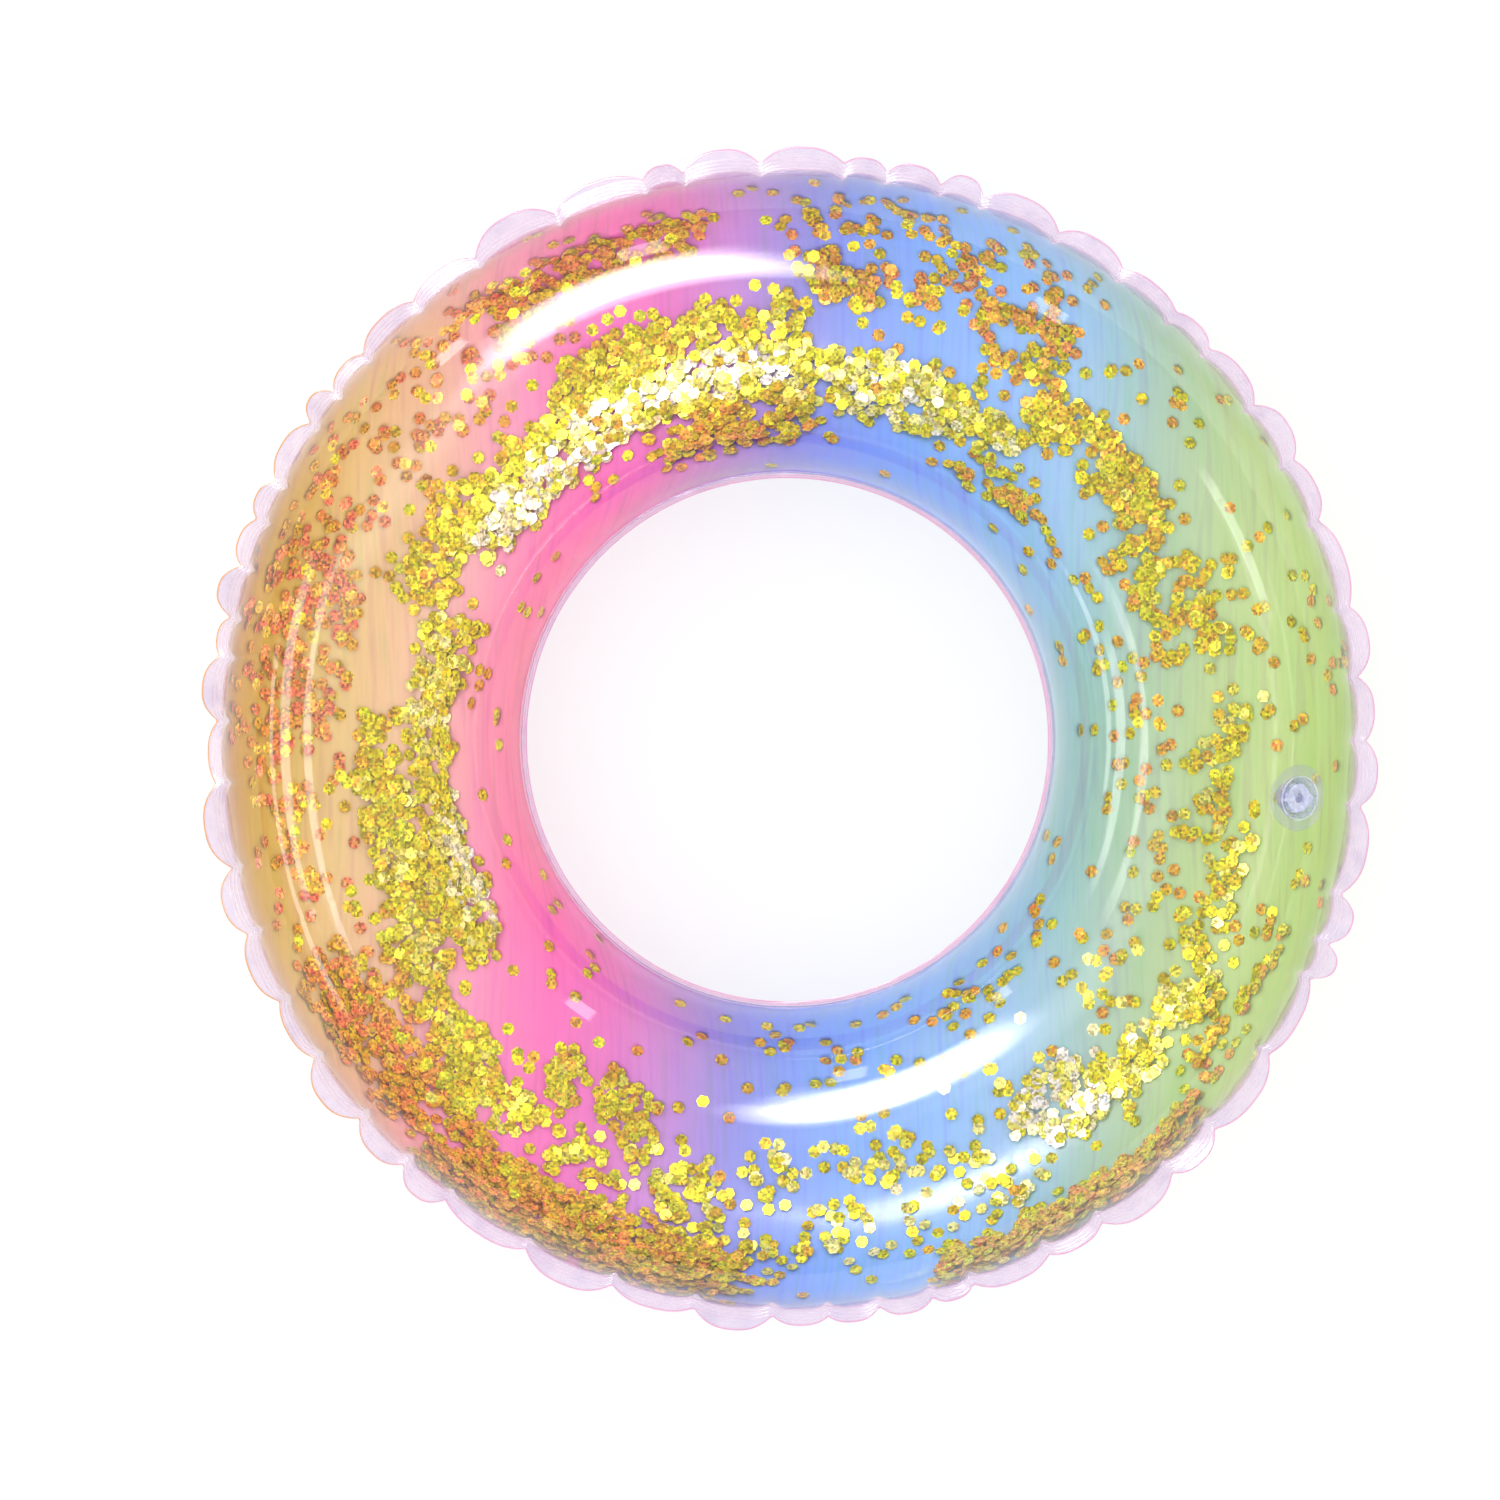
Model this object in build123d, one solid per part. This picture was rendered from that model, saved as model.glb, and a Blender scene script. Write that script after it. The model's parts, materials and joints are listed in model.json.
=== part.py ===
from build123d import *
import math
import os
import random

# An inflatable ring float: two flat rings of PVC film welded together at the rim and at the hole,
# blown up through a push-in valve, with loose foil flakes shut inside.
# Millimetres, +Z up.  The ring lies on z = 0 and is centred on the Z axis.

# Ring, blown up
HOLE_R = 144.0
CROWN_R = 233.0
TUBE_R = 308.0
HEIGHT = 150.0
FILM = 0.4

# Welded seams: two films pressed into one, so twice the film's thickness
WELD = 2 * FILM
SCALLOPS = 54
SCALLOP_SPREAD = 0.42
SCALLOP_PEAK = (315.5, 321.5)
SCALLOP_VALLEY = (310.4, 313.0)
SCALLOP_SEED = 11
LIP_WIDTH = 2.6

# Valve: its place on the ring, then its own sizes in a frame whose z = 0 is the film's outer face
VALVE_R = 282.0
VALVE_ANGLE = -6.0
FLANGE_R = 17.8
FLANGE_T = 0.8
WELL_R = 12.0
FILM_HOLE_R = 12.3
SKIRT_WALL = 0.6
SKIRT_RIM = 2.0
STEM_R = 7.2
BORE_R = 4.8
STEM_TOP = -2.5
STEM_BOTTOM = -11.0
SKIRT_GAP = 0.1
EDGE_ROUND = 0.3

# Plug, its strap and the strap's anchor on the stem
CAP_R = 7.6
CAP_T = 1.2
CAP_GAP = 0.1
STUB_DEPTH = 4.5
STUB_TOP_R = 4.7
STUB_TIP_R = 3.6
RECESS_R = 2.7
RECESS_DEPTH = 3.6
STRAP_WIDTH = 4.6
STRAP_T = 0.7
PLUG_HINGE_X = -9.0
PLUG_HINGE_Z = -2.9
TAB_END = 9.8
TAB_WIDTH = 5.2
TAB_T = 0.8
ANCHOR_R = 8.1
ANCHOR_T = 1.1
ANCHOR_TOP = -3.5
ANCHOR_END = -9.3

# Check flap under the stem
FLAP_R = 5.9
FLAP_T = 0.5
FLAP_GAP = 0.1
FLAP_HINGE_X = -6.2
FLAP_TAB_WIDTH = 4.0

# Foil flakes
FLAKE_ACROSS = 6.3
FLAKE_T = 0.25
FLAKE_GAP = 0.35
FLAKE_SPACING = 8.2
FLAKES_LOWER = 170
FLAKES_UPPER = 80
FLAKE_LEAN = (-48, 62)
FLAKE_SEED = 5

# Worked out from the above
HALF = HEIGHT / 2
INNER_SPAN = CROWN_R - HOLE_R
INNER_ARC_R = (INNER_SPAN ** 2 + HALF ** 2) / (2 * HALF)
INNER_ARC_Z = 2 * HALF - INNER_ARC_R
OUTER_ARC_R = TUBE_R - CROWN_R
VALVE_TILT = math.degrees(math.asin((VALVE_R - CROWN_R) / OUTER_ARC_R))


def polar(radius, angle):
    """A point of the ring's plan, from its distance to the Z axis and its angle from +X."""
    turn = math.radians(angle)
    return (radius * math.cos(turn), radius * math.sin(turn))


def valve_place():
    """The valve's frame: z out of the film, x down the tube's slope, origin on the outer face."""
    tilt = math.radians(VALVE_TILT)
    across = polar(1, VALVE_ANGLE)
    centre = polar(VALVE_R, VALVE_ANGLE)
    return Plane(
        origin=(centre[0], centre[1], HALF + OUTER_ARC_R * math.cos(tilt)),
        x_dir=(across[0] * math.cos(tilt), across[1] * math.cos(tilt), -math.sin(tilt)),
        z_dir=(across[0] * math.sin(tilt), across[1] * math.sin(tilt), math.cos(tilt)),
    )


VALVE = valve_place()


def on_valve(shape):
    """Move a piece made in the valve's frame to the ring."""
    return VALVE.location * shape


def disc(radius, top, bottom):
    """An upright cylinder between two heights."""
    return Pos(0, 0, (top + bottom) / 2) * Cylinder(radius, abs(top - bottom))


def rounded_disc(radius, top, bottom):
    """The same with its rims rounded over."""
    plain = disc(radius, top, bottom)
    return fillet(plain.edges().filter_by(GeomType.CIRCLE), EDGE_ROUND)


def block(x_low, x_high, width, top, bottom):
    """A box across the valve's x axis."""
    centre = Pos((x_low + x_high) / 2, 0, (top + bottom) / 2)
    return centre * Box(x_high - x_low, width, abs(top - bottom))


def dome(inset):
    """Half the tube's section above the weld, `inset` inside the film's outer face.

    The outer half is a quarter circle.  The inner half is a flatter arc that meets it at the
    crown and comes down to the hole at a slant, which leaves the tube's slight inner ridge.
    """
    foot = HALF + WELD / 2
    outer_r = OUTER_ARC_R - inset
    inner_r = INNER_ARC_R - inset
    outer_start = math.degrees(math.asin((foot - HALF) / outer_r))
    inner_end = 180 - math.degrees(math.asin((foot - INNER_ARC_Z) / inner_r))
    outer = CenterArc((CROWN_R, HALF), outer_r, outer_start, 90 - outer_start)
    inner = CenterArc((CROWN_R, INNER_ARC_Z), inner_r, 90, inner_end - 90)
    return make_face(outer + inner + Line(inner @ 1, outer @ 0))


def film_ring():
    """One film of the ring, from weld to weld."""
    return revolve(Plane.XZ * (dome(0) - dome(FILM)), Axis.Z)


def upper_skin():
    """The clear upper film, with the valve's hole."""
    return film_ring() - on_valve(Cylinder(FILM_HOLE_R, HALF / 2))


def lower_skin():
    """The printed lower film."""
    return mirror(film_ring(), about=Plane.XY.offset(HALF))


def scallop_corners():
    """Angle and radius of the pinched corners between scallops, and of the crests between them.

    Blowing the ring up shortens its rim, so the flat seam gathers into uneven scallops.
    """
    chance = random.Random(SCALLOP_SEED)
    widths = [1 + SCALLOP_SPREAD * chance.uniform(-1, 1) for _ in range(SCALLOPS)]
    step = 360 / sum(widths)
    corners = []
    crests = []
    angle = 0
    for width in widths:
        corners.append((angle, chance.uniform(*SCALLOP_VALLEY)))
        crests.append((angle + width * step / 2, chance.uniform(*SCALLOP_PEAK)))
        angle += width * step
    return corners, crests


def outer_seam():
    """The welded rim: a thin flat ring whose outer edge is a row of arcs."""
    corners, crests = scallop_corners()
    points = [polar(radius, angle) for angle, radius in corners]
    tops = [polar(radius, angle) for angle, radius in crests]
    arcs = [ThreePointArc(points[k], tops[k], points[(k + 1) % SCALLOPS]) for k in range(SCALLOPS)]
    outline = make_face(Curve() + arcs)
    ring = outline - Circle(TUBE_R - 2 * FILM)
    return Pos(0, 0, HALF - WELD / 2) * extrude(ring, WELD)


def inner_seam():
    """The narrow lip left where the seam at the hole is trimmed close."""
    ring = Circle(HOLE_R + 2 * FILM) - Circle(HOLE_R - LIP_WIDTH)
    return Pos(0, 0, HALF - WELD / 2) * extrude(ring, WELD)


def valve_flange():
    """The valve's base ring, welded to the film's inner face and curved with it."""
    outside = OUTER_ARC_R - FILM
    upper_rim_quarter = Pos(outside / 2, outside / 2) * Rectangle(outside, outside)
    band = (Circle(outside) - Circle(outside - FLANGE_T)) & upper_rim_quarter
    half_turn = math.degrees(FLANGE_R / VALVE_R) + 1
    strip = revolve(Plane.XZ * Pos(CROWN_R, HALF) * band, Axis.Z, revolution_arc=2 * half_turn)
    strip = Rot(0, 0, VALVE_ANGLE - half_turn) * strip
    return strip & on_valve(Cylinder(FLANGE_R, HALF / 2) - Cylinder(WELL_R, HALF / 2))


def valve_skirt():
    """The soft wall that turns inside out when the stem is pulled up; here it is pushed in."""
    rim_r = WELL_R - 0.02
    foot_r = STEM_R + SKIRT_GAP
    foot_top = STEM_BOTTOM + 1
    rim_foot = -FILM - SKIRT_RIM
    outline = Polyline(
        (rim_r - SKIRT_WALL, -FILM),
        (rim_r, -FILM),
        (rim_r, rim_foot),
        (foot_r + SKIRT_WALL, foot_top),
        (foot_r + SKIRT_WALL, STEM_BOTTOM),
        (foot_r, STEM_BOTTOM),
        (foot_r, foot_top + SKIRT_WALL),
        (rim_r - SKIRT_WALL, rim_foot + SKIRT_WALL),
        close=True,
    )
    return on_valve(revolve(Plane.XZ * make_face(outline), Axis.Z))


def stem_tube():
    """The valve's mouthpiece."""
    return on_valve(rounded_disc(STEM_R, STEM_TOP, STEM_BOTTOM) - disc(BORE_R, STEM_TOP, STEM_BOTTOM))


def strap_anchor():
    """The collar round the mouthpiece that holds the plug's strap."""
    foot = ANCHOR_TOP - ANCHOR_T
    collar = rounded_disc(ANCHOR_R, ANCHOR_TOP, foot)
    ear = block(ANCHOR_END, 0, STRAP_WIDTH, ANCHOR_TOP, foot)
    return on_valve(collar + ear - disc(STEM_R, ANCHOR_TOP, foot))


def plug_cap():
    """The plug: a flat cap over a hollow tapered stub that fills the mouthpiece."""
    under = STEM_TOP + CAP_GAP
    cap = rounded_disc(CAP_R, under + CAP_T, under)
    stub = Pos(0, 0, under - STUB_DEPTH / 2) * Cone(STUB_TIP_R, STUB_TOP_R, STUB_DEPTH)
    recess = disc(RECESS_R, under + CAP_T, under + CAP_T - RECESS_DEPTH)
    return on_valve(cap + stub - recess)


def plug_strap():
    """The strap from the cap to its bead above the anchor, where it bends."""
    top = STEM_TOP + CAP_GAP + CAP_T - 0.2
    bead = Pos(PLUG_HINGE_X, 0, PLUG_HINGE_Z) * Rot(90, 0, 0) * Cylinder(STRAP_T / 2, STRAP_WIDTH)
    leg = block(PLUG_HINGE_X - STRAP_T / 2, PLUG_HINGE_X + STRAP_T / 2, STRAP_WIDTH, top, PLUG_HINGE_Z)
    bridge = block(PLUG_HINGE_X, 0, STRAP_WIDTH, top, top - STRAP_T)
    return on_valve(bead + leg + bridge - Pos(0, 0, top) * Cylinder(CAP_R, 4 * STRAP_T))


def pull_tab():
    """The finger tab on the cap's far side."""
    top = STEM_TOP + CAP_GAP + CAP_T - 0.2
    straight = TAB_END - TAB_WIDTH / 2
    tongue = block(0, straight, TAB_WIDTH, top, top - TAB_T)
    tip = Pos(straight, 0, 0) * disc(TAB_WIDTH / 2, top, top - TAB_T)
    return on_valve(tongue + tip - Pos(0, 0, top) * Cylinder(CAP_R, 4 * TAB_T))


def check_flap():
    """The loose disc that air pressure holds against the foot of the mouthpiece."""
    top = STEM_BOTTOM - FLAP_GAP
    face = disc(FLAP_R, top, top - FLAP_T)
    root = block(FLAP_HINGE_X, 0, FLAP_TAB_WIDTH, top, top - FLAP_T)
    bead = Rot(90, 0, 0) * Cylinder(FLAP_T / 2, FLAP_TAB_WIDTH)
    return on_valve(face + root + Pos(FLAP_HINGE_X, 0, top - FLAP_T / 2) * bead)


def flake(angle, lean, upside):
    """One hexagonal flake lying on the inner face of a film.

    `lean` is the angle round the tube's section, from the crown (0) towards the rim (positive)
    or towards the hole (negative).
    """
    centre_z = HALF if lean >= 0 else INNER_ARC_Z
    arc_r = OUTER_ARC_R if lean >= 0 else INNER_ARC_R
    inset = FILM + FLAKE_GAP + FLAKE_T / 2
    hexagon = extrude(RegularPolygon(FLAKE_ACROSS / 2, 6, major_radius=False), FLAKE_T / 2, both=True)
    reach = Pos(CROWN_R, 0, centre_z) * Rot(0, lean, 0) * Pos(0, 0, arc_r - inset)
    piece = Rot(0, 0, angle) * reach * hexagon
    if upside:
        return piece
    return mirror(piece, about=Plane.XY.offset(HALF))


def far_enough(spot, taken):
    """True if a flake at (angle, lean) clears every flake already laid on the same film."""
    for other in taken:
        turn = math.radians(spot[0] - other[0]) * (CROWN_R + OUTER_ARC_R * math.sin(math.radians(other[1])))
        climb = math.radians(spot[1] - other[1]) * OUTER_ARC_R
        if math.hypot(turn, climb) < FLAKE_SPACING:
            return False
    return True


def clear_of_valve(spot):
    """True if the spot isn't under the valve."""
    turn = math.radians((spot[0] - VALVE_ANGLE + 180) % 360 - 180) * VALVE_R
    climb = math.radians(spot[1] - VALVE_TILT) * OUTER_ARC_R
    return math.hypot(turn, climb) > FLANGE_R + FLAKE_ACROSS


def flakes(count, upside, seed):
    """A group of loose flakes, scattered by chance along one film."""
    chance = random.Random(seed)
    taken = []
    while len(taken) < count:
        spot = (chance.uniform(0, 360), chance.uniform(*FLAKE_LEAN))
        if far_enough(spot, taken) and (clear_of_valve(spot) or not upside):
            taken.append(spot)
    return Compound(children=[flake(angle, lean, upside) for angle, lean in taken])


NODES = {
    "upper_skin": upper_skin,
    "lower_skin": lower_skin,
    "outer_seam": outer_seam,
    "inner_seam": inner_seam,
    "valve_flange": valve_flange,
    "valve_skirt": valve_skirt,
    "stem_tube": stem_tube,
    "strap_anchor": strap_anchor,
    "plug_cap": plug_cap,
    "plug_strap": plug_strap,
    "pull_tab": pull_tab,
    "check_flap": check_flap,
    "sequins_lower": lambda: flakes(FLAKES_LOWER, False, FLAKE_SEED),
    "sequins_upper": lambda: flakes(FLAKES_UPPER, True, FLAKE_SEED + 1),
}

os.makedirs("parts", exist_ok=True)
for name, make in NODES.items():
    export_step(make(), os.path.join("parts", name + ".step"))
    print("wrote", name)
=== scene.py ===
# %% [markdown]
# # An inflatable ring float
# The real object is two flat rings of soft PVC film. They are welded together round the rim and
# round the hole, and then blown up. The upper film is clear, the lower one is printed, and gold
# foil flakes slide about between them. A push-in valve sits in the upper film.
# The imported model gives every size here, in metres. This lesson builds the looks round it.

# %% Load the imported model
import json
import math
import random

import bpy
import numpy as np
from mathutils import Matrix, Vector, noise


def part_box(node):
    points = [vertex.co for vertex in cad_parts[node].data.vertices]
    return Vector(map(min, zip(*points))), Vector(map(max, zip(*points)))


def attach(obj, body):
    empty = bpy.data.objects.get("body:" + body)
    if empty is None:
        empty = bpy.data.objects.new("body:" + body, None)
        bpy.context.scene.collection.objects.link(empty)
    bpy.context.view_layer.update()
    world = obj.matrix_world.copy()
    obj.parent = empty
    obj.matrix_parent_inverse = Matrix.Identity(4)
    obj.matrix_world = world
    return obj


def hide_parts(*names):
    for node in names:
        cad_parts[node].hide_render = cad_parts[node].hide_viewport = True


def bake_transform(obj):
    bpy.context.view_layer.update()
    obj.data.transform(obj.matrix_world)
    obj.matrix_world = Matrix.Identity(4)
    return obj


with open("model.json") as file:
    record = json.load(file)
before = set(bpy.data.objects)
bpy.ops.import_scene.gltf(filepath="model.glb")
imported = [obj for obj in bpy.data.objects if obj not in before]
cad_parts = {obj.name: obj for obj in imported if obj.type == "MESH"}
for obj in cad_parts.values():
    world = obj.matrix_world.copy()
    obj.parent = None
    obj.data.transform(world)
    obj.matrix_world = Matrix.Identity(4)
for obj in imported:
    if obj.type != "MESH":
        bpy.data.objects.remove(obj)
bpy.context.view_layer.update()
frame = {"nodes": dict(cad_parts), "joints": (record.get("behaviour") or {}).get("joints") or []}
print("nodes:", sorted(frame["nodes"]))

# %% [markdown]
# Every size comes from the model's own boxes. The ring's section is two arcs for each film: a
# quarter circle from the rim up to the crown, and a flatter arc from the crown down to the hole.
# Lengths that belong to the look alone, such as a pucker's depth, are named where they are used.

# %% Sizes read from the model
MM = 0.001
FILM = 0.4 * MM
WELD = 2 * FILM
rim_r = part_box("upper_skin")[1].x
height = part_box("upper_skin")[1].z
mid_z = height / 2
crown_r = rim_r - mid_z
hole_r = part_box("inner_seam")[1].x - WELD
inner_arc_r = ((crown_r - hole_r) ** 2 + mid_z ** 2) / (2 * mid_z)
inner_arc_drop = inner_arc_r - mid_z
inner_end = math.pi - math.asin(inner_arc_drop / inner_arc_r)
outer_length = mid_z * math.pi / 2
inner_length = inner_arc_r * (inner_end - math.pi / 2)
film_length = outer_length + inner_length
print("rim, crown, hole radius:", round(rim_r, 4), round(crown_r, 4), round(hole_r, 4))

slide = next(j for j in frame["joints"] if j["name"] == "valve_stem_slide")
plug = next(j for j in frame["joints"] if j["name"] == "plug_hinge")
valve_z = Vector(slide["axis"]).normalized()
valve_y = -Vector(plug["axis"]).normalized()
valve_x = valve_y.cross(valve_z)
PLUG_HINGE = (-9.0 * MM, -2.9 * MM)
valve_at = Vector(plug["pos_m"]) - PLUG_HINGE[0] * valve_x - PLUG_HINGE[1] * valve_z
VALVE = Matrix((valve_x, valve_y, valve_z)).transposed().to_4x4()
VALVE.translation = valve_at
print("valve at", [round(c, 4) for c in valve_at])

# %% [markdown]
# ## Colours and nodes
# A colour is written as the hex value a designer would pick, and turned to the linear values that
# Blender reckons with. Materials and geometry trees could be clicked together by hand, but a script
# can be read and run again, so one small function adds any node with its settings and its links.

# %% Helpers for colours and nodes
def linear(code):
    """An sRGB hex colour as linear red, green, blue and alpha."""
    shares = [int(code[k:k + 2], 16) / 255 for k in (1, 3, 5)]
    return [s / 12.92 if s <= 0.04045 else ((s + 0.055) / 1.055) ** 2.4 for s in shares] + [1.0]


def add(tree, kind, inputs=(), stops=(), **settings):
    """Adds a node with its settings and links.

    `inputs` maps a socket's name or number to a value, to another node's output, or to a node whose
    first output is meant. `stops` are a colour ramp's places and hex colours.
    """
    made = tree.nodes.new(kind)
    for name, value in settings.items():
        setattr(made, name, value)
    for socket, value in dict(inputs).items():
        if isinstance(value, bpy.types.Node):
            value = value.outputs[0]
        if isinstance(value, bpy.types.NodeSocket):
            tree.links.new(value, made.inputs[socket])
        else:
            made.inputs[socket].default_value = value
    if stops:
        band = made.color_ramp.elements
        while len(band) < len(stops):
            band.new(0.5)
        for stop, (place, code) in zip(band, stops):
            stop.position = place
            stop.color = linear(code)
    return made


def new_material(name):
    """A material with an empty tree."""
    material = bpy.data.materials.new(name)
    material.use_nodes = True
    material.node_tree.nodes.clear()
    return material, material.node_tree


print("mid grey in linear light:", round(linear("#808080")[0], 3))

# %% [markdown]
# ## Meshes
# Films, strip, lip and skirt are all skins that close on themselves twice: round the ring and round
# their own section. So one function turns a grid of points into such a skin, and the shapes below
# only have to say where the points lie. A skin's faces must point outwards, which its volume tells:
# it comes out below zero when they point in. Numbers that a material needs later, such as the
# distance from a weld, are stored on the points.

# %% Helpers for meshes
def object_from(name, mesh, material=None):
    """Puts a mesh in the scene as an object at the origin."""
    made = bpy.data.objects.new(name, mesh)
    bpy.context.scene.collection.objects.link(made)
    if material:
        mesh.materials.append(material)
    return made


def tube_mesh(name, grid):
    """A closed skin over a grid of points that runs round in both directions.

    `grid[i][j]` goes round the section with i and round the ring with j.
    """
    rows, columns = grid.shape[:2]
    i, j = np.meshgrid(np.arange(rows), np.arange(columns), indexing="ij")
    i_next, j_next = (i + 1) % rows, (j + 1) % columns
    corners = [row * columns + column
               for row, column in ((i, j), (i, j_next), (i_next, j_next), (i_next, j))]
    faces = np.stack(corners, -1).reshape(-1, 4)
    mesh = bpy.data.meshes.new(name)
    mesh.from_pydata(grid.reshape(-1, 3), [], faces)
    mesh.polygons.foreach_set("use_smooth", np.ones(len(faces), bool))
    mesh.update()
    return mesh


def enclosed(mesh):
    """The signed volume of a closed mesh, which is above zero when its faces point outwards."""
    points = np.empty(len(mesh.vertices) * 3)
    mesh.vertices.foreach_get("co", points)
    points = points.reshape(-1, 3)
    mesh.calc_loop_triangles()
    corners = np.empty(len(mesh.loop_triangles) * 3, int)
    mesh.loop_triangles.foreach_get("vertices", corners)
    a, b, c = (points[corners.reshape(-1, 3)[:, k]] for k in range(3))
    return float(np.einsum("ij,ij->i", a, np.cross(b, c)).sum() / 6)


def facing_out(mesh):
    """Turns a closed mesh's faces outwards if they point inwards."""
    if enclosed(mesh) < 0:
        mesh.flip_normals()
    return mesh


def store(mesh, name, values):
    """Keeps one number for each point of a mesh, for its material or its geometry nodes to read."""
    kept = mesh.attributes.new(name, "FLOAT", "POINT")
    kept.data.foreach_set("value", values.astype(np.float32).ravel())


# %% [markdown]
# ## The gathered rim
# Blowing the ring up pulls its rim in by a fifth, and the flat welded strip has nowhere to go: it
# gathers into uneven scallops with a pinch between each two. The pinches are drawn by chance, with
# a fixed seed, so every run gives the same rim. The films, the strip and the flakes all follow it.

# %% Scallops and pinches round the rim
SCALLOPS = 54
SCALLOP_SPREAD = 0.42
SCALLOP_SEED = 11
SCALLOP_BLUNT = 2.6
CREST_R = (315.5 * MM, 321.5 * MM)
PINCH_R = (310.4 * MM, 313.0 * MM)


def scallop_list():
    """Where the pinches and crests are: start angle, width, pinch radius and crest radius."""
    chance = random.Random(SCALLOP_SEED)
    widths = [1 + SCALLOP_SPREAD * chance.uniform(-1, 1) for _ in range(SCALLOPS)]
    step = 2 * math.pi / sum(widths)
    start = 0
    rows = []
    for width in widths:
        pinch = chance.uniform(*PINCH_R)
        crest = chance.uniform(*CREST_R)
        rows.append((start, width * step, pinch, crest))
        start += width * step
    return np.array(rows)


SCALLOP = scallop_list()
chance = random.Random(SCALLOP_SEED + 1)
LIFT = np.array([(1 if k % 2 else -1) * chance.uniform(0.2, 1.0) for k in range(SCALLOPS)])
CREASE = np.array([chance.uniform(0.35, 1.0) for _ in range(SCALLOPS)])


def rim_at(turn):
    """For angles round the ring: the scallop's number, the place in it (0 to 1) and its swell."""
    turn = np.mod(turn, 2 * math.pi)
    which = np.clip(np.searchsorted(SCALLOP[:, 0], turn, side="right") - 1, 0, SCALLOPS - 1)
    place = np.clip((turn - SCALLOP[which, 0]) / SCALLOP[which, 1], 0, 1)
    return which, place, 1 - np.abs(2 * place - 1) ** SCALLOP_BLUNT


def eased(which, place, values):
    """A value given at each pinch, blended from one pinch to the next."""
    ease = place * place * (3 - 2 * place)
    return values[which] * (1 - ease) + values[(which + 1) % SCALLOPS] * ease


print("scallops:", SCALLOPS, "widest", round(math.degrees(SCALLOP[:, 1].max()), 1), "degrees")

# %% [markdown]
# ## How the film swells and puckers
# Near the rim the film swells between two pinches and is drawn in at each pinch, and a short crease
# runs up the tube from it. Both fade within a few centimetres. The rest of the film is taut, with
# only a slow waver that keeps its reflections from looking turned on a lathe. A cloth simulation
# could blow the flat films up, but its folds would fall anywhere. Adding the swell, the creases and
# the waver along the film's normal puts them where the pinches of the strip are.

# %% The film's shape
SWELL = 3.2 * MM
SWELL_FADE = 13 * MM
SWELL_LEVEL = 0.72
CREASE_DEPTH = 2.1 * MM
CREASE_WIDTH = 2.1 * MM
CREASE_REACH = (9 * MM, 34 * MM)
RUFFLE = 1.5 * MM
WAVER = 0.55 * MM
FLOOR_GAP = 0.15 * MM
ROWS_CLOSER = 1.5


def section(along):
    """Radius, height above the middle and normal, at a distance up the film from the rim."""
    outer = np.minimum(along, outer_length) / mid_z
    inner = math.pi / 2 + np.maximum(along - outer_length, 0) / inner_arc_r
    is_outer = along <= outer_length
    angle = np.where(is_outer, outer, inner)
    arc_r = np.where(is_outer, mid_z, inner_arc_r)
    drop = np.where(is_outer, 0, inner_arc_drop)
    radius = crown_r + arc_r * np.cos(angle)
    return radius, arc_r * np.sin(angle) - drop, np.cos(angle), np.sin(angle)


def film_point(turn, along, depth, side):
    """Points of a film: `depth` under its outer face, on the upper (1) or the lower (-1) side."""
    radius, up, out_r, out_z = section(along)
    which, place, swell = rim_at(turn)
    fade = np.exp(-along / SWELL_FADE)
    push = SWELL * (swell - SWELL_LEVEL) * fade
    from_pinch = np.minimum(place, 1 - place) * SCALLOP[which, 1] * rim_r
    nearest = np.where(place < 0.5, which, (which + 1) % SCALLOPS)
    reach = CREASE_REACH[0] + (CREASE_REACH[1] - CREASE_REACH[0]) * CREASE[nearest] ** 3
    push = push - CREASE_DEPTH * CREASE[nearest] * np.exp(
        -(from_pinch / CREASE_WIDTH) ** 2 - along / reach)
    slow = (np.sin(3 * turn + 9 * along / film_length)
            + np.sin(7 * turn - 5 * along / film_length + side))
    push = push + WAVER * slow * np.sin(math.pi * along / film_length)
    wobble = RUFFLE * eased(which, place, LIFT) * fade
    rho = radius + (push - depth) * out_r
    z = mid_z + side * (up + (push - depth) * out_z + WELD / 2 * (along < 1e-9)) + wobble
    if side < 0:
        z = np.maximum(z, FLOOR_GAP + depth)
    return np.stack([rho * np.cos(turn), rho * np.sin(turn), z], -1)


def film_steps(outer_rows, inner_rows):
    """Distances up the film for the rows of its outer face and, back again, of its inner face."""
    down = film_length * np.linspace(0, 1, outer_rows) ** ROWS_CLOSER
    back = film_length * np.linspace(1, 0, inner_rows) ** ROWS_CLOSER
    return down, back


def film_grid(side, turns, outer_rows, inner_rows):
    """The film as a closed skin: its outer face from rim to hole, then its inner face back."""
    turn = np.linspace(0, 2 * math.pi, turns, endpoint=False)
    down, back = film_steps(outer_rows, inner_rows)
    rows = [film_point(turn, np.full(turns, a), 0.0, side) for a in down]
    rows += [film_point(turn, np.full(turns, a), FILM, side) for a in back]
    return np.array(rows)


print("film from rim to hole:", round(film_length / MM), "mm")

# %% [markdown]
# Each film is a grid: a thousand points round the ring, and rows that run from the rim to the hole
# on its outer face and back on its inner face. The rows are close together at the rim, where the
# shape is fine. The printed film also keeps where each point lay when it was still flat.

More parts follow.
